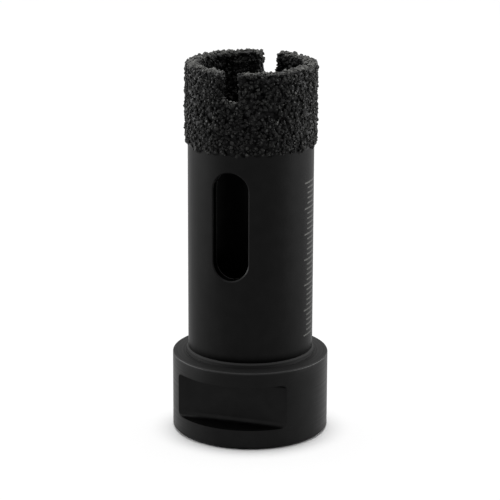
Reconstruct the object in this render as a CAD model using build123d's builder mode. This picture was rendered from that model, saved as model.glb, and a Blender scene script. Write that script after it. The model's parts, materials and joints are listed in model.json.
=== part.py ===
"""Diamond core bit for an angle grinder: a threaded steel hub, a steel barrel with windows and a crown of grit.

Millimetres, +Z up. The origin is on the axis, in the hub's underside, which seats on the spindle's shoulder.
The bit stands on its hub, with its crown up. Windows, rim notches and spanner flats face -Y and +Y.
"""
import os

from build123d import *

# ---- hub: turned from bar, threaded right through, with two milled spanner flats ----
hub_ledge = 3.0                # how far the hub stands out round the barrel
hub_height = 15.3
hub_top_break = 0.25
hub_foot_chamfer = 0.5
thread_radius = 7.0            # wall of the plain bore, at the major diameter of an M14 thread
thread_mouth_chamfer = 1.0
flat_distance = 10.2           # axis to either spanner flat
flat_bottom = 3.85
flat_height = 8.6
flat_cutter_radius = 1.0       # nose of the cutter, left in both inner corners of a flat's slot

# ---- seat: the low shoulder that the barrel stands on, and the spigot that it fits over ----
shoulder_overhang = 0.3        # how far the shoulder stands out round the barrel
shoulder_height = 1.0
spigot_height = 6.0            # above the shoulder
spigot_edge_chamfer = 0.8
braze_gap = 0.04               # radial room for braze between spigot and barrel

# ---- barrel: precision steel tube, bored out at the rim to make room for the inner coat ----
barrel_radius = 12.0
barrel_wall = 2.0
overall_height = 72.0
window_width = 7.0
window_height = 20.8
window_bottom = 32.3
window_edge_break = 0.2
relief_depth = 0.4             # taken off the wall inside the coated rim

# ---- crown: coat of brazed diamond grit, outside, inside, over the rim and through both notches ----
coat_thickness = 0.5
coat_height = 15.7             # outside, down from the rim
inner_coat_height = 10.0       # inside, down from the rim
coat_fade = 0.8                # the coat thins away over this height at its lower edges
rim_rounding = 0.7
notch_width = 3.2
notch_depth = 5.6
notch_corner_radius = 0.9

# ---- sizes and levels that follow from the ones above ----
hub_radius = barrel_radius + hub_ledge
flat_middle = flat_bottom + flat_height / 2
seat_level = hub_height + shoulder_height
shoulder_radius = barrel_radius + shoulder_overhang
bore_radius = barrel_radius - barrel_wall
spigot_radius = bore_radius - braze_gap
spigot_top = seat_level + spigot_height
spigot_chamfer = min(spigot_edge_chamfer, (spigot_radius - thread_radius) / 3)
thread_end_chamfer = min(thread_mouth_chamfer, (spigot_radius - thread_radius) / 3)
steel_rim_level = overall_height - coat_thickness
relief_radius = bore_radius + relief_depth
inner_coat_bottom = overall_height - inner_coat_height
outer_coat_bottom = overall_height - coat_height
notch_floor = overall_height - notch_depth

# Hub: a solid of revolution. Its shoulder is as wide as the barrel on top and flares down to the overhang.
with BuildPart() as hub:
    with BuildSketch(Plane.XZ):
        with BuildLine():
            Polyline(
                (thread_radius, thread_mouth_chamfer),
                (thread_radius + thread_mouth_chamfer, 0),
                (hub_radius - hub_foot_chamfer, 0),
                (hub_radius, hub_foot_chamfer),
                (hub_radius, hub_height - hub_top_break),
                (hub_radius - hub_top_break, hub_height),
                (shoulder_radius, hub_height),
                (shoulder_radius, seat_level - shoulder_overhang),
                (barrel_radius, seat_level),
                (spigot_radius, seat_level),
                (spigot_radius, spigot_top - spigot_chamfer),
                (spigot_radius - spigot_chamfer, spigot_top),
                (thread_radius + thread_end_chamfer, spigot_top),
                (thread_radius, spigot_top - thread_end_chamfer),
                close=True,
            )
        make_face()
    revolve(axis=Axis.Z)
    # The milled slots stop short of both end faces, so the hub keeps a full ring above and below each flat.
    with BuildSketch(Plane.YZ):
        with Locations((-hub_radius, flat_middle), (hub_radius, flat_middle)):
            Rectangle(2 * (hub_radius - flat_distance), flat_height)
        fillet(vertices().group_by(lambda corner: abs(corner.X))[0], radius=flat_cutter_radius)
    extrude(amount=hub_radius, both=True, mode=Mode.SUBTRACT)
hub.part.label = "hub"


def lies_on_barrel_outside(edge):
    """True where an edge's end and its middle are both at the barrel's outer radius."""
    radii = [(edge @ along).cross(Vector(0, 0, 1)).length for along in (0, 0.5)]
    return all(abs(radius - barrel_radius) < 0.001 for radius in radii)


# Barrel: a tube with an open rim. One pass of the cutter makes both windows, and another both notches.
with BuildPart() as barrel:
    with BuildSketch(Plane.XY.offset(seat_level)):
        Circle(barrel_radius)
        Circle(bore_radius, mode=Mode.SUBTRACT)
    extrude(amount=steel_rim_level - seat_level)
    with BuildSketch(Plane.XY.offset(inner_coat_bottom)):
        Circle(relief_radius)
    extrude(amount=inner_coat_height, mode=Mode.SUBTRACT)
    with BuildSketch(Plane.XZ):
        with Locations((0, window_bottom + window_height / 2)):
            SlotOverall(window_height, window_width, rotation=90)
    extrude(amount=barrel_radius, both=True, mode=Mode.SUBTRACT)
    chamfer(edges(Select.LAST).filter_by(lies_on_barrel_outside), length=window_edge_break)
    with BuildSketch(Plane.XZ):
        with Locations((0, overall_height)):
            Rectangle(notch_width + 2 * coat_thickness, 2 * (notch_depth + coat_thickness))
        fillet(vertices().group_by(Axis.Y)[0], radius=notch_corner_radius + coat_thickness)
    extrude(amount=barrel_radius, both=True, mode=Mode.SUBTRACT)
barrel.part.label = "barrel"

# Crown: the coat's outer form as a notched ring, less the steel rim that it is brazed to.
with BuildPart() as diamond_crown:
    with BuildSketch(Plane.XZ):
        with BuildLine():
            Polyline(
                (relief_radius - coat_thickness, overall_height),
                (relief_radius - coat_thickness, inner_coat_bottom + coat_fade),
                (relief_radius, inner_coat_bottom),
                (barrel_radius, outer_coat_bottom),
                (barrel_radius + coat_thickness, outer_coat_bottom + coat_fade),
                (barrel_radius + coat_thickness, overall_height),
                close=True,
            )
        make_face()
        fillet(vertices().group_by(Axis.Y)[-1], radius=rim_rounding)
    revolve(axis=Axis.Z)
    with BuildSketch(Plane.XZ):
        with BuildLine():
            Polyline(
                (-notch_width / 2 - rim_rounding, overall_height),
                (-notch_width / 2, overall_height - rim_rounding),
                (-notch_width / 2, notch_floor),
                (notch_width / 2, notch_floor),
                (notch_width / 2, overall_height - rim_rounding),
                (notch_width / 2 + rim_rounding, overall_height),
                close=True,
            )
        make_face()
        fillet(vertices().group_by(Axis.Y)[0], radius=notch_corner_radius)
    extrude(amount=barrel_radius + 2 * coat_thickness, both=True, mode=Mode.SUBTRACT)
    add(barrel.part, mode=Mode.SUBTRACT)
diamond_crown.part.label = "diamond_crown"

os.makedirs("parts", exist_ok=True)
export_step(hub.part, "parts/hub.step")
export_step(barrel.part, "parts/barrel.step")
export_step(diamond_crown.part, "parts/diamond_crown.step")
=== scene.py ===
"""Looks of a black diamond core bit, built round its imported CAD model: hub, barrel and grit crown."""

import json
import math

import bmesh
import bpy
import numpy as np
from mathutils import Matrix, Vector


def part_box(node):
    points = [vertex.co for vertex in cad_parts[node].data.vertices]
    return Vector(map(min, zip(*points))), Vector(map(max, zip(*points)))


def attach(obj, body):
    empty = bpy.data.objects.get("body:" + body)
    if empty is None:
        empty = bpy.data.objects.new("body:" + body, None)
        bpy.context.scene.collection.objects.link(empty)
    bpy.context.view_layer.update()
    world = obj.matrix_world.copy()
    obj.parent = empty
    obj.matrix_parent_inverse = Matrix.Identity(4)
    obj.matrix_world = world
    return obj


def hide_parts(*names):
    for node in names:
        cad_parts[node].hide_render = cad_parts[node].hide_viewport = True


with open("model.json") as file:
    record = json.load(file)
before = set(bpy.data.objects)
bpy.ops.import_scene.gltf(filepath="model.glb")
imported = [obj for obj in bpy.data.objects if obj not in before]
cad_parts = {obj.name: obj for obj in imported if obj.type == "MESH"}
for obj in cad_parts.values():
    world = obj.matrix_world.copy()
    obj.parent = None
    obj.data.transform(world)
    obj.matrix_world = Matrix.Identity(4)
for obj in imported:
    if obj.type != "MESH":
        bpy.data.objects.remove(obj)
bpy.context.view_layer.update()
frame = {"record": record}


# ---------------------------------------------------------------------------------------------------------
# Hub. One turned steel piece with a right-hand M14 thread through it and two milled spanner flats.
# It carries the barrel on a low shoulder and a spigot, and is blackened all over to a dull satin.
# ---------------------------------------------------------------------------------------------------------
MM = 0.001                     # all sizes are in mm and angles in degrees, unless a comment says otherwise
mounts = {mount["name"]: mount for mount in frame["record"]["mounts"]}
barrel_low, barrel_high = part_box("barrel")
barrel_radius = barrel_high[0] / MM
barrel_wall = 2.0
bore_radius = barrel_radius - barrel_wall
seat_level = barrel_low[2] / MM
hub_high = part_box("hub")[1]
hub_radius = hub_high[0] / MM
hub_foot_chamfer = 0.5
hub_top_break = 0.25
shoulder_height = 1.0
shoulder_overhang = 0.3
shoulder_radius = barrel_radius + shoulder_overhang
hub_height = seat_level - shoulder_height
spigot_top = hub_high[2] / MM
braze_gap = 0.04
spigot_radius = bore_radius - braze_gap
spigot_chamfer = 0.8
flat_distance = mounts["spanner_flat_back"]["pos_m"][1] / MM
flat_middle = mounts["spanner_flat_back"]["pos_m"][2] / MM
flat_height = 8.6
flat_bottom = flat_middle - flat_height / 2
flat_top = flat_middle + flat_height / 2
flat_cutter_radius = 1.0
thread_major = mounts["spindle_thread"]["dims"]["r_mm"]
thread_pitch = 2.0
thread_minor = thread_major - 0.5413 * thread_pitch    # the depth of a 60 degree metric thread
thread_mouth = thread_major + 1.0
hub_columns = 288
no_wall = 99                   # a reach from the axis that no point of the hub has


def linear(code):
    """An sRGB hex colour as linear red, green, blue and an alpha of 1."""
    channels = [int(code[k:k + 2], 16) / 255 for k in (1, 3, 5)]
    return [c / 12.92 if c <= 0.04045 else ((c + 0.055) / 1.055) ** 2.4 for c in channels] + [1.0]


def add_node(tree, kind, settings=None, links=None):
    """Adds a node, sets its properties and socket values, and links sockets to other nodes' outputs."""
    node = tree.nodes.new(kind)
    for name, value in (settings or {}).items():
        if isinstance(name, str) and hasattr(node, name):
            setattr(node, name, value)
        else:
            node.inputs[name].default_value = value
    for name, output in (links or {}).items():
        tree.links.new(output, node.inputs[name])
    return node


def grid_faces(rows, columns, wrap=False):
    """Quads between the neighbouring points of a grid stored row after row, closed round if wrap is set."""
    last = columns if wrap else columns - 1
    row, column = np.meshgrid(np.arange(rows - 1), np.arange(last), indexing="ij")
    beside = (column + 1) % columns
    corners = [row * columns + column, row * columns + beside,
               (row + 1) * columns + beside, (row + 1) * columns + column]
    return np.stack(corners, axis=-1).reshape(-1, 4)


def make_piece(name, patches, material, weld=0.0005, sharp_degrees=30):
    """One mesh object from patches (points in mm, faces), welded where they meet and faced outwards."""
    starts = np.cumsum([0] + [len(points) for points, faces in patches])
    points = np.concatenate([points for points, faces in patches]) * MM
    faces = np.concatenate([faces + start for (own, faces), start in zip(patches, starts)])
    mesh = bpy.data.meshes.new(name)
    mesh.from_pydata(points.tolist(), [], faces.tolist())
    shape = bmesh.new()
    shape.from_mesh(mesh)
    bmesh.ops.remove_doubles(shape, verts=shape.verts, dist=weld * MM)
    bmesh.ops.dissolve_degenerate(shape, edges=shape.edges, dist=weld * MM)
    bmesh.ops.recalc_face_normals(shape, faces=shape.faces)
    shape.to_mesh(mesh)
    shape.free()
    mesh.polygons.foreach_set("use_smooth", np.ones(len(mesh.polygons), dtype=bool))
    mesh.set_sharp_from_angle(angle=math.radians(sharp_degrees))
    mesh.materials.append(material)
    piece = bpy.data.objects.new(name, mesh)
    bpy.context.scene.collection.objects.link(piece)
    return piece


def turned(radius, height, turn):
    """Points at a radius and a height, turned about the axis from the front, -Y, towards the right, +X."""
    radius, height, turn = np.broadcast_arrays(radius, height, turn)
    return np.stack([radius * np.sin(turn), -radius * np.cos(turn), height], axis=-1).reshape(-1, 3)


def start_finish(name):
    """A metal finish on Object coordinates: material, tree, shader, and a place in mm with its parts."""
    material = bpy.data.materials.new(name)
    material.use_nodes = True
    tree = material.node_tree
    shader = tree.nodes["Principled BSDF"]
    shader.inputs["Metallic"].default_value = 1.0
    place = add_node(tree, "ShaderNodeTexCoord")
    in_mm = add_node(tree, "ShaderNodeVectorMath", {"operation": "SCALE", "Scale": 1 / MM},
                     {0: place.outputs["Object"]})
    parts = add_node(tree, "ShaderNodeSeparateXYZ", {}, {0: in_mm.outputs[0]})
    return material, tree, shader, in_mm.outputs[0], parts.outputs


def from_axis(tree, place_mm):
    """A place's distance from the hub's axis in mm, as a node output."""
    level = add_node(tree, "ShaderNodeVectorMath", {"operation": "MULTIPLY", 1: (1, 1, 0)}, {0: place_mm})
    length = add_node(tree, "ShaderNodeVectorMath", {"operation": "LENGTH"}, {0: level.outputs[0]})
    return length.outputs["Value"]


def hub_outside():
    """The hub's outside: each row has a radius, a height and the reach of the milled wall from the axis.

    A point's radius is the row's own, or reach / cos(turn) where that is less, which is a flat wall square
    to Y. The columns near the wall's end are turned so that one lies on the line where the two radii meet.
    """
    bend = np.linspace(0, math.pi / 2, 5)
    rise = flat_cutter_radius * (1 - np.cos(bend))
    reach_in_bend = flat_distance + flat_cutter_radius * (1 - np.sin(bend))
    rows = [(thread_mouth, 0, no_wall), (hub_radius - hub_foot_chamfer, 0, no_wall),
            (hub_radius, hub_foot_chamfer, no_wall), (hub_radius, flat_bottom, no_wall)]
    rows += [(hub_radius, flat_bottom + up, reach) for up, reach in zip(rise, reach_in_bend)]
    rows += [(hub_radius, flat_top - up, reach) for up, reach in zip(rise[::-1], reach_in_bend[::-1])]
    rows += [(hub_radius, flat_top, no_wall)]
    rows += [(hub_radius - hub_top_break * (1 - math.cos(a)),
              hub_height - hub_top_break * (1 - math.sin(a)), no_wall) for a in bend]
    rows += [(shoulder_radius, hub_height, no_wall),
             (shoulder_radius, seat_level - shoulder_overhang, no_wall),
             (barrel_radius, seat_level, no_wall), (spigot_radius, seat_level, no_wall),
             (spigot_radius, spigot_top - spigot_chamfer, no_wall),
             (spigot_radius - spigot_chamfer, spigot_top, no_wall), (thread_mouth, spigot_top, no_wall)]
    radius, height, reach = np.array(rows, dtype=float).T[:, :, None]
    turn = np.linspace(0, 2 * math.pi, hub_columns, endpoint=False)[None, :]
    quarter = np.minimum(turn % math.pi, math.pi - turn % math.pi)
    side = np.where(turn % math.pi < math.pi / 2, 1, -1)
    step = 2 * math.pi / hub_columns
    eased = 10 * step              # how far from the wall's end the columns make room
    wall_end = np.arccos(np.minimum(reach, hub_radius) / hub_radius)
    nearest = round(math.acos(flat_distance / hub_radius) / step) * step
    pull = np.clip(1 - np.abs(quarter - nearest) / eased, 0, 1)
    turn = turn + side * pull * np.where(reach < hub_radius, wall_end - nearest, 0)
    radius = np.minimum(radius, reach / np.abs(np.cos(turn)).clip(1e-6))
    return turned(radius, height, turn), grid_faces(len(rows), hub_columns, wrap=True)


def hub_thread():
    """The threaded bore: rows follow the helix, so height is the row's own plus pitch x turn / full turn.

    The radius is the thread's form, flat at the crest and the root with straight flanks between, or that of
    the countersink's 45 degree cone at either mouth where it is more. Rows past a mouth end on its circle.
    """
    root_half, flank = 1 / 16, 5 / 16          # of a pitch: half the root's flat, and one flank
    along = np.array([0, 1 / 16, 0.17, 0.27, 3 / 8, 0.5, 5 / 8, 0.73, 0.83, 15 / 16])    # and its rows
    pitches = np.arange(-1, math.ceil(spigot_top / thread_pitch) + 1)
    phase = (pitches[:, None] + along[None, :]).reshape(-1, 1)
    from_root = np.abs((phase + 0.5) % 1 - 0.5)
    form = thread_major - (thread_major - thread_minor) * np.clip((from_root - root_half) / flank, 0, 1)
    turn = np.linspace(0, 2 * math.pi, hub_columns + 1)[None, :]
    height = np.clip(thread_pitch * (phase + turn / (2 * math.pi)), 0, spigot_top)
    cone = thread_mouth - np.minimum(height, spigot_top - height)
    return turned(np.maximum(form, cone), height, turn), grid_faces(len(phase), hub_columns + 1)


# Black oxide on turned steel: a near-black satin, even to the eye, with faint rings where the tool fed
# along. The faced ledge and the shoulder keep coarser tool marks, so they are rougher; from the ledge up the
# surface is also painted a little paler, as painted light lifting the shade the shoulder casts. Painted
# highlights run along the top edges of the hub and the shoulder.
turning_feed = 0.35            # between rings; the real 0.15 mm would be lost between two pixels
ring_depth = 0.01
ring_relief = 0.25
noise_span = (0.3, 0.7)        # where most of a noise's values lie
oxide_patch = 2.5
ledge_start = hub_height - 0.05    # a hair below the ledge, so that all of it is above
edge_highlight_reach = 0.4                # from an edge to where the painted highlight ends
edge_highlight_full = edge_highlight_reach / 3  # and to where it is brightest
edge_highlight_share = 0.55
turned_satin = (0.38, 0.48)
ledge_dulling = 0.25
turned_edge_tint = (0.82, 0.82, 0.82, 1)
turned_dark = linear("#161616")
turned_pale = linear("#1d1d1d")
# painted light for everything from the ledge up
ledge_painted_light = linear("#272727")
# painted highlight along the top edges of the hub and the shoulder
edge_painted_highlight = linear("#343434")
hub_finish, tree, shader, place_mm, parts = start_finish("black_oxide_on_turned_steel")
z_mm = parts["Z"]
shader.inputs["Specular Tint"].default_value = turned_edge_tint
radius_mm = from_axis(tree, place_mm)
along_cut = add_node(tree, "ShaderNodeMath", {"operation": "ADD"}, {0: radius_mm, 1: z_mm})
rings = add_node(tree, "ShaderNodeTexNoise",
                 {"noise_dimensions": "1D", "Scale": 1 / turning_feed, "Detail": 1},
                 {"W": along_cut.outputs[0]})
patches = add_node(tree, "ShaderNodeTexNoise", {"Scale": 1 / oxide_patch, "Detail": 4},
                   {"Vector": place_mm})
ledge = add_node(tree, "ShaderNodeMath", {"operation": "GREATER_THAN", 1: ledge_start}, {0: z_mm})
oxide = add_node(tree, "ShaderNodeMix", {"data_type": "RGBA", 6: turned_dark, 7: turned_pale},
                 {0: patches.outputs[0]})
# Painted light: from just below the ledge up, the hub is a paler grey, lifting the shoulder's shade.
with_ledge_painted_light = add_node(tree, "ShaderNodeMix", {"data_type": "RGBA", 7: ledge_painted_light},
                 {0: ledge.outputs[0], 6: oxide.outputs[2]})
profile = add_node(tree, "ShaderNodeCombineXYZ", {}, {0: radius_mm, 2: z_mm})
# Painted highlight along the top edges of the hub and the shoulder, palest close to each edge.
near_highlit_edge = []
for edge in ((hub_radius, 0, hub_height), (shoulder_radius, 0, seat_level)):
    away = add_node(tree, "ShaderNodeVectorMath", {"operation": "DISTANCE", 1: edge},
                    {0: profile.outputs[0]})
    near_highlit_edge.append(add_node(tree, "ShaderNodeMapRange",
                              {"From Min": edge_highlight_reach, "From Max": edge_highlight_full, "To Max": edge_highlight_share},
                              {"Value": away.outputs["Value"]}))
either = add_node(tree, "ShaderNodeMath", {"operation": "MAXIMUM"},
                  {0: near_highlit_edge[0].outputs[0], 1: near_highlit_edge[1].outputs[0]})
with_edge_highlight = add_node(tree, "ShaderNodeMix", {"data_type": "RGBA", 7: edge_painted_highlight},
                   {0: either.outputs[0], 6: with_ledge_painted_light.outputs[2]})
satin = add_node(tree, "ShaderNodeMapRange",
                 {"From Min": noise_span[0], "From Max": noise_span[1],
                  "To Min": turned_satin[0], "To Max": turned_satin[1]}, {"Value": rings.outputs[0]})
rough = add_node(tree, "ShaderNodeMath", {"operation": "MULTIPLY_ADD", 1: ledge_dulling},
                 {0: ledge.outputs[0], 2: satin.outputs[0]})
tool_marks = add_node(tree, "ShaderNodeBump", {"Strength": ring_relief, "Distance": ring_depth * MM},
                      {"Height": rings.outputs[0]})
tree.links.new(with_edge_highlight.outputs[2], shader.inputs["Base Color"])
tree.links.new(rough.outputs[0], shader.inputs["Roughness"])
tree.links.new(tool_marks.outputs[0], shader.inputs["Normal"])
hub = make_piece("hub_blackened", [hub_outside(), hub_thread()], hub_finish)
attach(hub, "root")
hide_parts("hub")


# ---------------------------------------------------------------------------------------------------------
# Barrel. A length of precision steel tube with two long milled windows, pushed over the hub's spigot and
# brazed to it. It is blackened with the hub.
# ---------------------------------------------------------------------------------------------------------
barrel_top = 62.6              # ends inside the crown's skin, which hides it
window_width = 7.0
window_height = 20.8
window_bottom = 32.3
window_middle = window_bottom + window_height / 2
window_break = 0.2
corner_points = 56
side_points = 40
spokes = 44
crowding = 1.2                 # over 1, the points of a spoke stand closer near the window


def window_outline(spread):
    """The window seen along Y, two half circles and straight sides, grown by the spread: x and height."""
    radius = window_width / 2 + spread
    straight = window_height / 2 - window_width / 2
    bend = np.linspace(0, math.pi, corner_points, endpoint=False)
    run = np.linspace(-1, 1, side_points, endpoint=False)
    x = np.concatenate([radius * np.cos(bend), np.full(side_points, -radius), -radius * np.cos(bend),
                        np.full(side_points, radius)])
    z = np.concatenate([straight + radius * np.sin(bend), -straight * run,
                        -straight - radius * np.sin(bend), straight * run])
    return x, z + window_middle


def half_wall(radius, spread, flip):
    """Half of a barrel wall, -90 to +90 degrees about a window, as spokes from the window to its edges.

    Along a spoke the turn and the height go in step from the window's outline to the half's own edge.
    """
    x, z = window_outline(spread)
    bend = np.linspace(1, -1, corner_points, endpoint=False)
    run = np.linspace(1, 0, side_points, endpoint=False)
    tall = barrel_top - seat_level
    edge_turn = math.pi / 2 * np.concatenate([bend, np.full(side_points, -1),
                                              -bend, np.full(side_points, 1)])
    edge_z = np.concatenate([np.full(corner_points, barrel_top), seat_level + tall * run,
                             np.full(corner_points, seat_level), barrel_top - tall * run])
    out = (np.linspace(0, 1, spokes) ** crowding)[:, None]
    turn = (1 - out) * np.arcsin(x / radius) + out * edge_turn + flip * math.pi
    height = (1 - out) * z + out * edge_z
    return turned(radius, height, turn), grid_faces(spokes, len(x), wrap=True)


def window_wall(flip):
    """The window's edge break and its wall through the tube, which runs along Y."""
    rings = []
    for radius, spread in ((barrel_radius, window_break), (barrel_radius - window_break, 0),
                           (bore_radius, 0)):
        x, z = window_outline(spread)
        rings.append(turned(radius, z, np.arcsin(x / radius) + flip * math.pi))
    return np.concatenate(rings), grid_faces(len(rings), len(rings[0]), wrap=True)


def barrel_end(height):
    """The flat end of the tube, with the same turns as the walls' edges."""
    half_turn = np.linspace(-0.5, 0.5, corner_points + 1)[:-1]
    turn = np.concatenate([half_turn, half_turn + 1]) * math.pi
    radius = np.array([[barrel_radius], [bore_radius]])
    return turned(radius, height, turn[None, :]), grid_faces(2, len(turn), wrap=True)


barrel_patches = [barrel_end(seat_level), barrel_end(barrel_top)]
for flip in (0, 1):
    barrel_patches += [half_wall(barrel_radius, window_break, flip), half_wall(bore_radius, 0, flip),
                       window_wall(flip)]

# Black oxide on drawn tube: the same near-black satin with faint streaks along the tube, and painted shade
# at its foot, where it meets the hub. The windows' cut walls are duller and painted near-black as shade, up
# to a painted highlight along the bore's edge, and each window's edge has a painted highlight on one side.
streak_width = 0.5
streak_length = 12
streak_depth = 0.01
streak_relief = 0.05
drawn_satin = (0.4, 0.46)
cut_roughness = 0.65
drawn_edge_tint = (0.72, 0.72, 0.72, 1)
cut_edge_tint = (0.3, 0.3, 0.3, 1)
drawn_dark = linear("#131313")
drawn_pale = linear("#191919")
# painted shade at the barrel's foot, against the hub
foot_painted_shade = linear("#030303")
foot_shade_reach = (-0.2, 1.7)       # above the barrel's foot, where the painted shade is full and where it ends
# painted shade on the windows' cut walls, and a painted highlight along the bore's edge
cut_wall_painted_shade = linear("#060606")
bore_edge_painted_highlight = linear("#3c3c3c")
# painted highlight on one side of each window's edge
window_edge_painted_highlight = linear("#262626")
skin_fade = 0.15               # over this depth the outer skin gives way to the cut wall
bore_fade = (0.1, 0.02)        # from the bore, where its own skin starts and where it is whole
bore_highlight_fade = (0.3, 0.1)         # from the bore, where the painted highlight starts and where it is palest
window_highlight_fade = (0.3, 0.15)         # outside the window's outline, where the painted highlight starts and is full
window_highlight_turn = -20                 # x times y in square mm where the highlit side is palest
# A plain depth scale in millimetres is laser marked on one side, which burns the oxide off to a dull grey.
mark_colour = linear("#4c4c4a")
scale_bottom = 20.0
scale_top = 50.0
scale_step = 1.0
scale_line = 0.3
short_tick = 1.6               # half lengths round the tube
long_tick = 2.6
long_every = 5                 # steps
marked_side = bore_radius + 0.5    # in x, beyond which only the tube's outside on the +X side lies


def window_highlight_side(tree, place_mm, x_mm, y_mm):
    """1 on the side of the windows' edges that gets a painted highlight, and 0 away from it.

    A place is near an edge by its distance, seen along Y, from the line between the middles of the window's
    two round ends, and it is on the highlit side where x times y is negative.
    """
    from_middle = add_node(tree, "ShaderNodeVectorMath", {"operation": "SUBTRACT", 1: (0, 0, window_middle)},
                           {0: place_mm})
    folded = add_node(tree, "ShaderNodeVectorMath", {"operation": "ABSOLUTE"}, {0: from_middle.outputs[0]})
    past_ends = add_node(tree, "ShaderNodeVectorMath",
                         {"operation": "SUBTRACT", 1: (0, 0, (window_height - window_width) / 2)},
                         {0: folded.outputs[0]})
    kept = add_node(tree, "ShaderNodeVectorMath", {"operation": "MAXIMUM", 1: (0, 0, 0)},
                    {0: past_ends.outputs[0]})
    flat = add_node(tree, "ShaderNodeVectorMath", {"operation": "MULTIPLY", 1: (1, 0, 1)},
                    {0: kept.outputs[0]})
    from_line = add_node(tree, "ShaderNodeVectorMath", {"operation": "LENGTH"}, {0: flat.outputs[0]})
    near = add_node(tree, "ShaderNodeMapRange",
                    {"From Min": window_width / 2 + window_highlight_fade[0], "From Max": window_width / 2 + window_highlight_fade[1]},
                    {"Value": from_line.outputs["Value"]})
    across = add_node(tree, "ShaderNodeMath", {"operation": "MULTIPLY"}, {0: x_mm, 1: y_mm})
    side = add_node(tree, "ShaderNodeMapRange", {"From Min": 0, "From Max": window_highlight_turn},
                    {"Value": across.outputs[0]})
    return add_node(tree, "ShaderNodeMath", {"operation": "MULTIPLY"},
                    {0: near.outputs[0], 1: side.outputs[0]}).outputs[0]


def depth_scale(tree, x_mm, y_mm, z_mm):
    """1 on the scale's lines and 0 elsewhere: a tick each step up the tube's +X side, longer each fifth."""
    step = add_node(tree, "ShaderNodeMath", {"operation": "PINGPONG", 1: scale_step / 2}, {0: z_mm})
    line = add_node(tree, "ShaderNodeMath", {"operation": "LESS_THAN", 1: scale_line / 2},
                    {0: step.outputs[0]})
    fifth = add_node(tree, "ShaderNodeMath", {"operation": "PINGPONG", 1: scale_step * long_every / 2},
                     {0: z_mm})
    major = add_node(tree, "ShaderNodeMath", {"operation": "LESS_THAN", 1: scale_line},
                     {0: fifth.outputs[0]})
    tick = add_node(tree, "ShaderNodeMath",
                    {"operation": "MULTIPLY_ADD", 1: long_tick - short_tick, 2: short_tick},
                    {0: major.outputs[0]})
    round_tube = add_node(tree, "ShaderNodeMath", {"operation": "ABSOLUTE"}, {0: y_mm})
    within = add_node(tree, "ShaderNodeMath", {"operation": "LESS_THAN"},
                      {0: round_tube.outputs[0], 1: tick.outputs[0]})
    outside = add_node(tree, "ShaderNodeMath", {"operation": "GREATER_THAN", 1: marked_side}, {0: x_mm})
    height = add_node(tree, "ShaderNodeMath",
                      {"operation": "COMPARE", 1: (scale_bottom + scale_top) / 2,
                       2: (scale_top - scale_bottom + scale_line) / 2}, {0: z_mm})
    mark = within
    for mask in (line, outside, height):
        mark = add_node(tree, "ShaderNodeMath", {"operation": "MULTIPLY"},
                        {0: mark.outputs[0], 1: mask.outputs[0]})
    return mark.outputs[0]


barrel_finish, tree, shader, place_mm, (x_mm, y_mm, z_mm) = start_finish("black_oxide_on_drawn_tube")
drawn = add_node(tree, "ShaderNodeVectorMath",
                 {"operation": "MULTIPLY", 1: (1 / streak_width, 1 / streak_width, 1 / streak_length)},
                 {0: place_mm})
streaks = add_node(tree, "ShaderNodeTexNoise", {"Scale": 1.0, "Detail": 2}, {"Vector": drawn.outputs[0]})
patches = add_node(tree, "ShaderNodeTexNoise", {"Scale": 1 / oxide_patch, "Detail": 4},
                   {"Vector": place_mm})
oxide = add_node(tree, "ShaderNodeMix", {"data_type": "RGBA", 6: drawn_dark, 7: drawn_pale},
                 {0: patches.outputs[0]})
# Painted shade: near black at the barrel's foot, fading out above it.
above_foot_shade = add_node(tree, "ShaderNodeMapRange",
                 {"interpolation_type": "SMOOTHSTEP", "From Min": seat_level + foot_shade_reach[0],
                  "From Max": seat_level + foot_shade_reach[1]}, {"Value": z_mm})
with_foot_shade = add_node(tree, "ShaderNodeMix", {"data_type": "RGBA", 6: foot_painted_shade},
                  {0: above_foot_shade.outputs[0], 7: oxide.outputs[2]})
radius_mm = from_axis(tree, place_mm)
skinned = add_node(tree, "ShaderNodeMapRange",
                   {"From Min": barrel_radius - window_break - skin_fade,
                    "From Max": barrel_radius - window_break}, {"Value": radius_mm})
in_bore = add_node(tree, "ShaderNodeMapRange",
                   {"From Min": bore_radius + bore_fade[0], "From Max": bore_radius + bore_fade[1]},
                   {"Value": radius_mm})
# The cut walls are painted near black as shade, with a painted highlight along the bore's edge.
bore_edge_highlight = add_node(tree, "ShaderNodeMapRange",
                {"From Min": bore_radius + bore_highlight_fade[0], "From Max": bore_radius + bore_highlight_fade[1]},
                {"Value": radius_mm})
painted_cut_wall = add_node(tree, "ShaderNodeMix", {"data_type": "RGBA", 6: cut_wall_painted_shade, 7: bore_edge_painted_highlight},
                    {0: bore_edge_highlight.outputs[0]})
drawn_skin = add_node(tree, "ShaderNodeMath", {"operation": "MAXIMUM"},
                      {0: skinned.outputs[0], 1: in_bore.outputs[0]})
walls = add_node(tree, "ShaderNodeMix", {"data_type": "RGBA"},
                 {0: drawn_skin.outputs[0], 6: painted_cut_wall.outputs[2], 7: with_foot_shade.outputs[2]})
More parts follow.
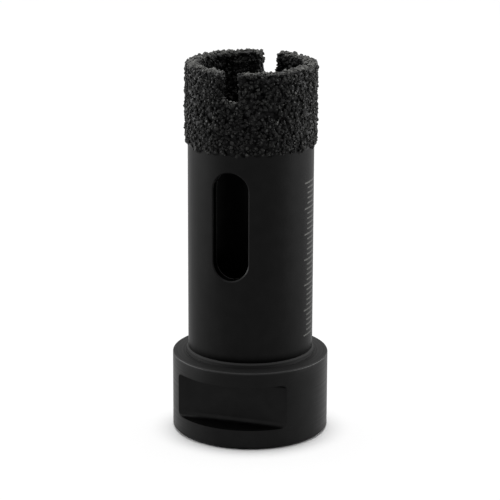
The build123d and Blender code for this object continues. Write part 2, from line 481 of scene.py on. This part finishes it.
# Painted highlight on one side of each window's edge, on the outer skin only.
window_edge_highlight = add_node(tree, "ShaderNodeMath", {"operation": "MULTIPLY"},
                  {0: window_highlight_side(tree, place_mm, x_mm, y_mm), 1: skinned.outputs[0]})
with_window_edge_highlight = add_node(tree, "ShaderNodeMix", {"data_type": "RGBA", 7: window_edge_painted_highlight},
                 {0: window_edge_highlight.outputs[0], 6: walls.outputs[2]})
marked = add_node(tree, "ShaderNodeMix", {"data_type": "RGBA", 7: mark_colour},
                  {0: depth_scale(tree, x_mm, y_mm, z_mm), 6: with_window_edge_highlight.outputs[2]})
satin = add_node(tree, "ShaderNodeMapRange",
                 {"From Min": noise_span[0], "From Max": noise_span[1],
                  "To Min": drawn_satin[0], "To Max": drawn_satin[1]}, {"Value": streaks.outputs[0]})
rough = add_node(tree, "ShaderNodeMix", {"data_type": "FLOAT", 2: cut_roughness},
                 {0: drawn_skin.outputs[0], 3: satin.outputs[0]})
edge_tint = add_node(tree, "ShaderNodeMix", {"data_type": "RGBA", 6: cut_edge_tint, 7: drawn_edge_tint},
                     {0: drawn_skin.outputs[0]})
drawing_marks = add_node(tree, "ShaderNodeBump", {"Strength": streak_relief, "Distance": streak_depth * MM},
                         {"Height": streaks.outputs[0]})
tree.links.new(marked.outputs[2], shader.inputs["Base Color"])
tree.links.new(edge_tint.outputs[2], shader.inputs["Specular Tint"])
tree.links.new(rough.outputs[0], shader.inputs["Roughness"])
tree.links.new(drawing_marks.outputs[0], shader.inputs["Normal"])
barrel = make_piece("barrel_blackened", barrel_patches, barrel_finish)
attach(barrel, "root")
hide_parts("barrel")


# ---------------------------------------------------------------------------------------------------------
# Diamond crown. Grit is brazed on in a vacuum furnace: a thin uneven skin of nickel braze wraps the rim
# outside, inside and through both notches, and thousands of blocky diamond grains stand half sunk in it.
# ---------------------------------------------------------------------------------------------------------
crown_low, crown_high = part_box("diamond_crown")
crown_radius = crown_high[0] / MM
crown_inner_radius = 9.9
rim_level = crown_high[2] / MM
outer_coat_bottom = crown_low[2] / MM
inner_coat_bottom = 62.0
coat_fade = 1.0
outer_tuck = 0.03              # the skin's lower edges start this far under the barrel's two surfaces
inner_tuck = 0.05
edge_wander = 0.22
wander_waves = 40
wander_height = 4              # the wander dies out over this height
rim_rounding = 0.5
rim_steps = 8
notch_width = 3.2
notch_depth = 5.6
notch_corner = 0.9
notch_mouth = 0.45
notch_parallel = 2.4           # this near a notch's middle, lines through the crown run parallel to it
notch_blend = 9                # over this distance from there they turn to point at the axis
wall_sink = 0.26               # the braze lies this far below the tops of the grains
rim_sink = 0.18
inner_sink = 0.08
cell = 0.18
inner_cell = 1.2 * cell
lump_size = 0.9
lump_relief = 0.2
lump_fade = 1.2                # the lumps die out over this height at the outer lower edge
grain_size = 0.62
grain_count = 7000
grain_spread = 0.22            # of the logarithm of a grain's size
grain_stretch = (0.78, 1.25)
grain_unevenness = 0.12
grain_lift = (-0.08, 0.12)
grain_thinning = 0.5           # the grains grow few over this height at the outer lower edge
grain_margin = 0.05            # counted from this far below the edge, so that a tenth stand at it
wall_shade = 0.22
upward_painted_light = 0.55
rng = np.random.default_rng(25)


def rim_line(spread):
    """The rim's line round a notch, unrolled at the crown's outside: distance from its middle, and height.

    From the notch's middle it runs along the floor, round the corner, up the wall, round the mouth and along
    the rim to halfway between the notches. spread moves the line into the coat, square to itself.
    """
    half, floor = notch_width / 2, rim_level - notch_depth
    legs = [half - notch_corner, notch_corner * math.pi / 2, notch_depth - notch_corner - notch_mouth,
            notch_mouth * math.pi / 2, crown_radius * math.pi / 2 - half - notch_mouth]
    ends = np.cumsum([0] + legs)
    s = np.linspace(0, ends[-1], round(ends[-1] / cell) + 1)
    low_bend = np.clip((s - ends[1]) / notch_corner, 0, math.pi / 2)
    high_bend = np.clip((s - ends[3]) / notch_mouth, 0, math.pi / 2)
    x = np.minimum(s, legs[0]) + notch_corner * np.sin(low_bend) + notch_mouth * (1 - np.cos(high_bend))
    x = x + np.maximum(s - ends[4], 0)
    z = floor + notch_corner * (1 - np.cos(low_bend)) + np.clip(s - ends[2], 0, legs[2])
    z = z + notch_mouth * np.sin(high_bend)
    heading = low_bend - high_bend
    return x + spread * np.sin(heading), z - spread * np.cos(heading)


def skin_rows():
    """The skin's smooth form as rows of distance, height and radius: outside, over the rim, down the inside.

    On either wall a point slides in a straight line from the rim's line to an evenly spaced point of the
    skin's lower edge. Over the rim and the notches the section is a flat between two quarter rounds.
    """
    outer, inner = crown_radius - wall_sink, crown_inner_radius + inner_sink
    outer_start, inner_start = barrel_radius - outer_tuck, bore_radius + inner_tuck
    x, z = rim_line(rim_rounding + rim_sink)
    even = np.linspace(0, crown_radius * math.pi / 2, len(x))
    rows = []
    for t in np.linspace(1, 0, round((rim_level - outer_coat_bottom) / cell)):
        height = (1 - t) * z + t * outer_coat_bottom
        swell = np.clip((height - outer_coat_bottom) / coat_fade, 0, 1)
        rows.append(((1 - t) * x + t * even, height, outer_start + (outer - outer_start) * swell))
    bends = np.linspace(0, math.pi / 2, 6)
    for a in bends[1:]:
        x, z = rim_line(rim_sink + rim_rounding * (1 - math.sin(a)))
        rows.append((x, z, outer - rim_rounding * (1 - math.cos(a)) + 0 * x))
    for radius in np.linspace(outer - rim_rounding, inner + rim_rounding, rim_steps)[1:]:
        x, z = rim_line(rim_sink)
        rows.append((x, z, radius + 0 * x))
    for a in bends[1:]:
        x, z = rim_line(rim_sink + rim_rounding * (1 - math.cos(a)))
        rows.append((x, z, inner + rim_rounding * (1 - math.sin(a)) + 0 * x))
    for t in np.linspace(0, 1, round((rim_level - inner_coat_bottom) / inner_cell))[1:]:
        height = (1 - t) * z + t * inner_coat_bottom
        swell = np.clip((height - inner_coat_bottom) / coat_fade, 0, 1)
        rows.append(((1 - t) * x + t * even, height, inner_start - (inner_start - inner) * swell))
    return np.array(rows).transpose(1, 0, 2)


def wander(turn, waves, salt):
    """A smooth uneven line round the axis, mostly within -1 to 1: a sum of sines with random phases.

    They have 3, 4 and so on up to waves - 1 cycles a turn.
    """
    orders = np.arange(3, waves)
    phases = np.random.default_rng(salt).uniform(0, 2 * math.pi, len(orders))
    return np.sin(turn[..., None] * orders + phases).sum(axis=-1) / math.sqrt(len(orders))


def skin_points():
    """The rows carried round the axis: a quarter, its mirror image, and both again half a turn on.

    Near a notch the walls stay parallel through the crown, and the lower edge wanders up and down.
    """
    x, z, radius = skin_rows()
    beyond = np.clip((x - notch_parallel) / notch_blend, 0, 1)
    widen = np.minimum(x, notch_parallel) * (1 / radius - 1 / crown_radius) * (1 - beyond)
    turn = x / crown_radius + widen
    turn = np.concatenate([turn[:, :-1], math.pi - turn[:, :0:-1]], axis=1)
    turn = np.concatenate([turn, turn + math.pi], axis=1)
    z, radius = (np.tile(np.concatenate([value[:, :-1], value[:, :0:-1]], axis=1), 2)
                 for value in (z, radius))
    low = np.clip(1 - (z - outer_coat_bottom) / wander_height, 0, 1)
    z = z + edge_wander * wander(turn, wander_waves, 7) * low
    return turned(radius, z, turn).reshape(*turn.shape, 3)


def hashed(cells, salt):
    """A repeatable random number from 0 to 1 for each whole-number cell, by the usual sine hash."""
    mixed = np.sin(cells @ np.array([12.9898, 78.233, 37.719]) + salt * 4.1414) * 43758.5453
    return mixed - np.floor(mixed)


def lump_height(points, size, salt):
    """Lumps, mostly from 0 to 1: each is round the nearest of one random seed per cell, and tilted.

    A lump's height is its own random one, plus its tilt times the way from its seed, less a round fall.
    """
    lowest, tilt, fall = 0.35, 0.9, 0.8
    scaled = points / size
    cells = np.floor(scaled)
    nearest = np.full(points.shape[:-1], 9.0)
    height = np.zeros(points.shape[:-1])
    for shift in np.stack(np.meshgrid(*[[-1, 0, 1]] * 3), axis=-1).reshape(-1, 3):
        own = cells + shift
        seed = own + np.stack([hashed(own, salt + k) for k in (1, 2, 3)], axis=-1)
        away = scaled - seed
        distance = np.sqrt((away ** 2).sum(axis=-1))
        slope = np.stack([hashed(own, salt + k) - 0.5 for k in (4, 5, 6)], axis=-1)
        top = lowest + (1 - lowest) * hashed(own, salt + 7) + tilt * (away * slope).sum(axis=-1)
        height = np.where(distance < nearest, top - distance ** 2 * fall, height)
        nearest = np.minimum(distance, nearest)
    return height


def outward(points):
    """Unit normals of a grid that closes on itself both ways, from its neighbours' differences."""
    along = np.roll(points, -1, axis=1) - np.roll(points, 1, axis=1)
    up = np.roll(points, -1, axis=0) - np.roll(points, 1, axis=0)
    normal = np.cross(along, up)
    return normal / np.linalg.norm(normal, axis=-1, keepdims=True).clip(1e-9)


smooth_skin = skin_points()
skin_normal = outward(smooth_skin)
lumps = lump_height(smooth_skin, lump_size, 10)
fade = np.clip((smooth_skin[..., 2] - outer_coat_bottom) / lump_fade, 0, 1)
skin = smooth_skin + skin_normal * ((lumps - 0.5) * lump_relief * fade)[..., None]
skin_faces = grid_faces(len(skin) + 1, skin.shape[1], wrap=True) % (len(skin) * skin.shape[1])


def cuboctahedron():
    """The 12 corners of a cuboctahedron of radius 1 and the 20 triangles of its hull."""
    x, y = (value.ravel() for value in np.meshgrid([-1, 1], [-1, 1]))
    corners = np.concatenate([np.stack([x, y, 0 * x], -1), np.stack([x, 0 * x, y], -1),
                              np.stack([0 * x, x, y], -1)]) / math.sqrt(2)
    shape = bmesh.new()
    bmesh.ops.convex_hull(shape, input=[shape.verts.new(corner) for corner in corners])
    shape.verts.index_update()
    sides = np.array([[v.index for v in face.verts] for face in shape.faces])
    shape.free()
    return corners, sides


def random_turns(count):
    """That many random rotation matrices, from random unit quaternions."""
    q = rng.normal(size=(count, 4))
    w, a, b, c = q.T / np.linalg.norm(q, axis=1)
    return np.array([[1 - 2 * (b * b + c * c), 2 * (a * b - c * w), 2 * (a * c + b * w)],
                     [2 * (a * b + c * w), 1 - 2 * (a * a + c * c), 2 * (b * c - a * w)],
                     [2 * (a * c - b * w), 2 * (b * c + a * w), 1 - 2 * (a * a + b * b)]]).transpose(2, 0, 1)


def scatter_grains(count, mean):
    """Random spots on the skin, evenly by area, each with a blocky grain turned at random and half sunk.

    A grain is a cuboctahedron, the common habit of such diamond, with uneven sides. Few stand near the
    lower edge. Its shade is low and random on the walls, and higher where the skin faces up, as painted
    light.
    """
    corners, sides = cuboctahedron()
    corner = skin[:-1]
    down = np.roll(skin, -1, axis=0)[:-1] - corner
    side = np.roll(skin, -1, axis=1)[:-1] - corner
    area = np.linalg.norm(np.cross(side, down), axis=-1)
    above_edge = corner[..., 2] - smooth_skin[0, :, 2]
    area = area * np.clip((above_edge + grain_margin) / grain_thinning, 0, 1)
    pick = rng.choice(area.size, count, p=(area / area.sum()).ravel())
    spot = corner.reshape(-1, 3)[pick] + rng.random((count, 1)) * side.reshape(-1, 3)[pick]
    spot = spot + rng.random((count, 1)) * down.reshape(-1, 3)[pick]
    size = mean / 2 * rng.lognormal(0, grain_spread, count)
    spin = random_turns(count)
    stretch = rng.uniform(*grain_stretch, (count, 1, 3))
    push = 1 + rng.uniform(-grain_unevenness, grain_unevenness, (count, len(corners), 1))
    uneven = corners[None] * push * stretch
    points = np.einsum("nij,nkj->nki", spin, uneven) * size[:, None, None]
    normal = skin_normal[:-1].reshape(-1, 3)[pick]
    lift = normal * rng.uniform(*grain_lift, (count, 1))
    points = points + (spot + lift)[:, None]
    faces = sides[None] + len(corners) * np.arange(count)[:, None, None]
    facing_up = np.clip((normal[:, 2] - 0.5) / 0.4, 0, 1)     # none up to 30 degrees, full from 64
    # Painted light: grains where the skin faces up get a paler shade.
    shade = wall_shade * rng.random(count) ** 2 + upward_painted_light * facing_up
    return points.reshape(-1, 3), faces.reshape(-1, 3), np.repeat(shade, len(corners))


def shaded_piece(name, points, faces, shade, material, smooth):
    """A mesh object in mm with a shade from 0 to 1 at each point, for its material."""
    mesh = bpy.data.meshes.new(name)
    mesh.from_pydata((points * MM).tolist(), [], faces.tolist())
    shades = mesh.attributes.new("shade", "FLOAT", "POINT")
    shades.data.foreach_set("value", shade.astype(np.float32).ravel())
    mesh.polygons.foreach_set("use_smooth", np.full(len(mesh.polygons), smooth))
    mesh.materials.append(material)
    piece = bpy.data.objects.new(name, mesh)
    bpy.context.scene.collection.objects.link(piece)
    return piece


def crown_finish(name, dark, light, smoothest, roughest, speck):
    """A black metallic finish that goes from dark to light with the shade, with specks of a size in mm."""
    speck_depth = 0.03
    speck_relief = 0.4
    noise_mean = 0.5               # divided out, so that the specks leave the average colour as it is
    material, tree, shader, place_mm = start_finish(name)[:4]
    shade = add_node(tree, "ShaderNodeAttribute", {"attribute_name": "shade"})
    specks = add_node(tree, "ShaderNodeTexNoise", {"Scale": 1 / speck, "Detail": 3}, {"Vector": place_mm})
    tone = add_node(tree, "ShaderNodeMath", {"operation": "MULTIPLY"},
                    {0: shade.outputs["Fac"], 1: specks.outputs[0]})
    spread = add_node(tree, "ShaderNodeMath", {"operation": "MULTIPLY", 1: 1 / noise_mean},
                      {0: tone.outputs[0]})
    colour = add_node(tree, "ShaderNodeMix", {"data_type": "RGBA", 6: linear(dark), 7: linear(light)},
                      {0: spread.outputs[0]})
    rough = add_node(tree, "ShaderNodeMapRange", {"To Min": smoothest, "To Max": roughest},
                     {"Value": specks.outputs[0]})
    relief = add_node(tree, "ShaderNodeBump", {"Strength": speck_relief, "Distance": speck_depth * MM},
                      {"Height": specks.outputs[0]})
    tree.links.new(colour.outputs[2], shader.inputs["Base Color"])
    tree.links.new(rough.outputs[0], shader.inputs["Roughness"])
    tree.links.new(relief.outputs[0], shader.inputs["Normal"])
    return material


# Nickel braze blackened with the tool: frozen melt, with painted shade in the hollows and painted light on
# its lumps.
braze_finish = crown_finish("blackened_nickel_braze", "#030303", "#1a1a1a", 0.55, 0.4, 0.3)
# Painted shade and light: the shade attribute is the lumps' height, so hollows are black and lump tops
# paler.
crown = shaded_piece("crown_braze", skin.reshape(-1, 3), skin_faces, np.clip(lumps, 0, 1), braze_finish,
                     smooth=True)
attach(crown, "root")
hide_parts("diamond_crown")

# Blackened diamond grains: dull flat facets, each a little darker or paler as it turns to the light. Those
# on the rim and the notch floors, which face up, are painted palest, as painted light from above.
grain_finish = crown_finish("blackened_diamond_grit", "#1d1d1d", "#4c4c4a", 0.46, 0.62, 0.25)
grain_points, grain_faces, grain_shade = scatter_grains(grain_count, grain_size)
grains = shaded_piece("crown_grains", grain_points, grain_faces, grain_shade, grain_finish, smooth=False)
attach(grains, "root")
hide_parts("diamond_crown")


# ---------------------------------------------------------------------------------------------------------
# Studio. White paper and a white surround, which the camera and reflections see as white and which give
# the bit little light, and three plain soft boxes: two low ones beside the bit, and one above behind it.
# ---------------------------------------------------------------------------------------------------------
view_azimuth = 19.3
floor_reach = 3                # metres
floor_drop = 0.02 * MM         # a hair below the hub's foot, so the two faces don't coincide
shadow_edge = (0.0145, 0.021)  # metres from the axis, where the shadow starts to fade and where it ends
white_share = 0.85             # of the paper's look beyond the shadow; the rest is plain lit paper
paper_colour = linear("#f2f2f2")
room_strength = 0.1
white = (1, 1, 1, 1)


def backdrop_share(tree):
    """1 for rays that show the backdrop, to the camera, by reflection or through glass, and 0 for light."""
    path = add_node(tree, "ShaderNodeLightPath")
    either = add_node(tree, "ShaderNodeMath", {"operation": "MAXIMUM"},
                      {0: path.outputs["Is Camera Ray"], 1: path.outputs["Is Glossy Ray"]})
    return add_node(tree, "ShaderNodeMath", {"operation": "MAXIMUM"},
                    {0: either.outputs[0], 1: path.outputs["Is Transmission Ray"]}).outputs[0]


# White paper: matt, with the bit's soft shadow close round its foot and nearly pure white beyond. It is
# see-through from below, so the underside shows.
floor_material = bpy.data.materials.new("white_paper_sweep")
floor_material.use_nodes = True
tree = floor_material.node_tree
tree.nodes.clear()
place = add_node(tree, "ShaderNodeTexCoord")
reach = add_node(tree, "ShaderNodeVectorMath", {"operation": "LENGTH"}, {0: place.outputs["Object"]})
beyond = add_node(tree, "ShaderNodeMapRange",
                  {"interpolation_type": "SMOOTHSTEP", "From Min": shadow_edge[0],
                   "From Max": shadow_edge[1], "To Max": white_share}, {"Value": reach.outputs["Value"]})
share = add_node(tree, "ShaderNodeMath", {"operation": "MULTIPLY"},
                 {0: backdrop_share(tree), 1: beyond.outputs[0]})
paper = add_node(tree, "ShaderNodeBsdfDiffuse", {"Color": paper_colour})
glow = add_node(tree, "ShaderNodeEmission", {"Color": white, "Strength": 1.0})
lit = add_node(tree, "ShaderNodeMixShader", {},
               {0: share.outputs[0], 1: paper.outputs[0], 2: glow.outputs[0]})
side = add_node(tree, "ShaderNodeNewGeometry")
below = add_node(tree, "ShaderNodeBsdfTransparent")
mix = add_node(tree, "ShaderNodeMixShader", {},
               {0: side.outputs["Backfacing"], 1: lit.outputs[0], 2: below.outputs[0]})
add_node(tree, "ShaderNodeOutputMaterial", {}, {"Surface": mix.outputs[0]})
floor_mesh = bpy.data.meshes.new("floor")
floor_mesh.from_pydata([(-floor_reach, -floor_reach, -floor_drop), (floor_reach, -floor_reach, -floor_drop),
                        (floor_reach, floor_reach, -floor_drop), (-floor_reach, floor_reach, -floor_drop)],
                       [], [(0, 1, 2, 3)])
floor_mesh.materials.append(floor_material)
floor = bpy.data.objects.new("floor", floor_mesh)
bpy.context.scene.collection.objects.link(floor)

world = bpy.data.worlds.new("studio")
bpy.context.scene.world = world
world.use_nodes = True
tree = world.node_tree
tree.nodes.clear()
room = add_node(tree, "ShaderNodeBackground", {"Color": white, "Strength": room_strength})
surround = add_node(tree, "ShaderNodeBackground", {"Color": white, "Strength": 1.0})
mix = add_node(tree, "ShaderNodeMixShader", {},
               {0: backdrop_share(tree), 1: room.outputs[0], 2: surround.outputs[0]})
add_node(tree, "ShaderNodeOutputWorld", {}, {"Surface": mix.outputs[0]})


def softbox(name, azimuth, elevation, size, watts):
    """A rectangular lamp, wide and tall in metres, at an azimuth from the front, facing the bit's middle."""
    distance = 0.7
    aim_height = 0.036
    data = bpy.data.lights.new(name, "AREA")
    data.shape = "RECTANGLE"
    data.size, data.size_y = size
    data.energy = watts
    lamp = bpy.data.objects.new(name, data)
    bpy.context.scene.collection.objects.link(lamp)
    azimuth, elevation = math.radians(azimuth), math.radians(elevation)
    level = distance * math.cos(elevation)
    lamp.location = (level * math.sin(azimuth), -level * math.cos(azimuth),
                     distance * math.sin(elevation) + aim_height)
    lamp.rotation_euler = (math.pi / 2 - elevation, 0, azimuth)


side_box = (0.8, 0.25)
top_box = (0.7, 0.7)
softbox("softbox_left", view_azimuth - 98, 6, side_box, 6.0)
softbox("softbox_right", view_azimuth + 98, 6, side_box, 6.0)
softbox("softbox_top", view_azimuth + 180, 75, top_box, 7.5)

# The camera stands this far from the axis and this high, in metres. It looks down by the elevation, turned
# a hair past the axis and rolled a little. Its focal length is in pixels of a 500 pixel wide picture.
camera_away = 0.4319
camera_height = 0.15789
view_elevation = 15.854
view_pan = 0.015
view_roll = 0.2
focal_pixels = 2340.2
picture_pixels = 500
camera_data = bpy.data.cameras.new("camera")
camera_data.sensor_width = 36
camera_data.lens = focal_pixels / picture_pixels * camera_data.sensor_width
camera = bpy.data.objects.new("camera", camera_data)
bpy.context.scene.collection.objects.link(camera)
bpy.context.scene.camera = camera
azimuth = math.radians(view_azimuth)
camera.location = (camera_away * math.sin(azimuth), -camera_away * math.cos(azimuth), camera_height)
aim = Matrix.Rotation(math.radians(view_azimuth + view_pan), 3, "Z")
aim = aim @ Matrix.Rotation(math.radians(90 - view_elevation), 3, "X")
aim = aim @ Matrix.Rotation(math.radians(view_roll), 3, "Z")
camera.rotation_euler = aim.to_euler()
bpy.context.scene.view_settings.view_transform = "Standard"
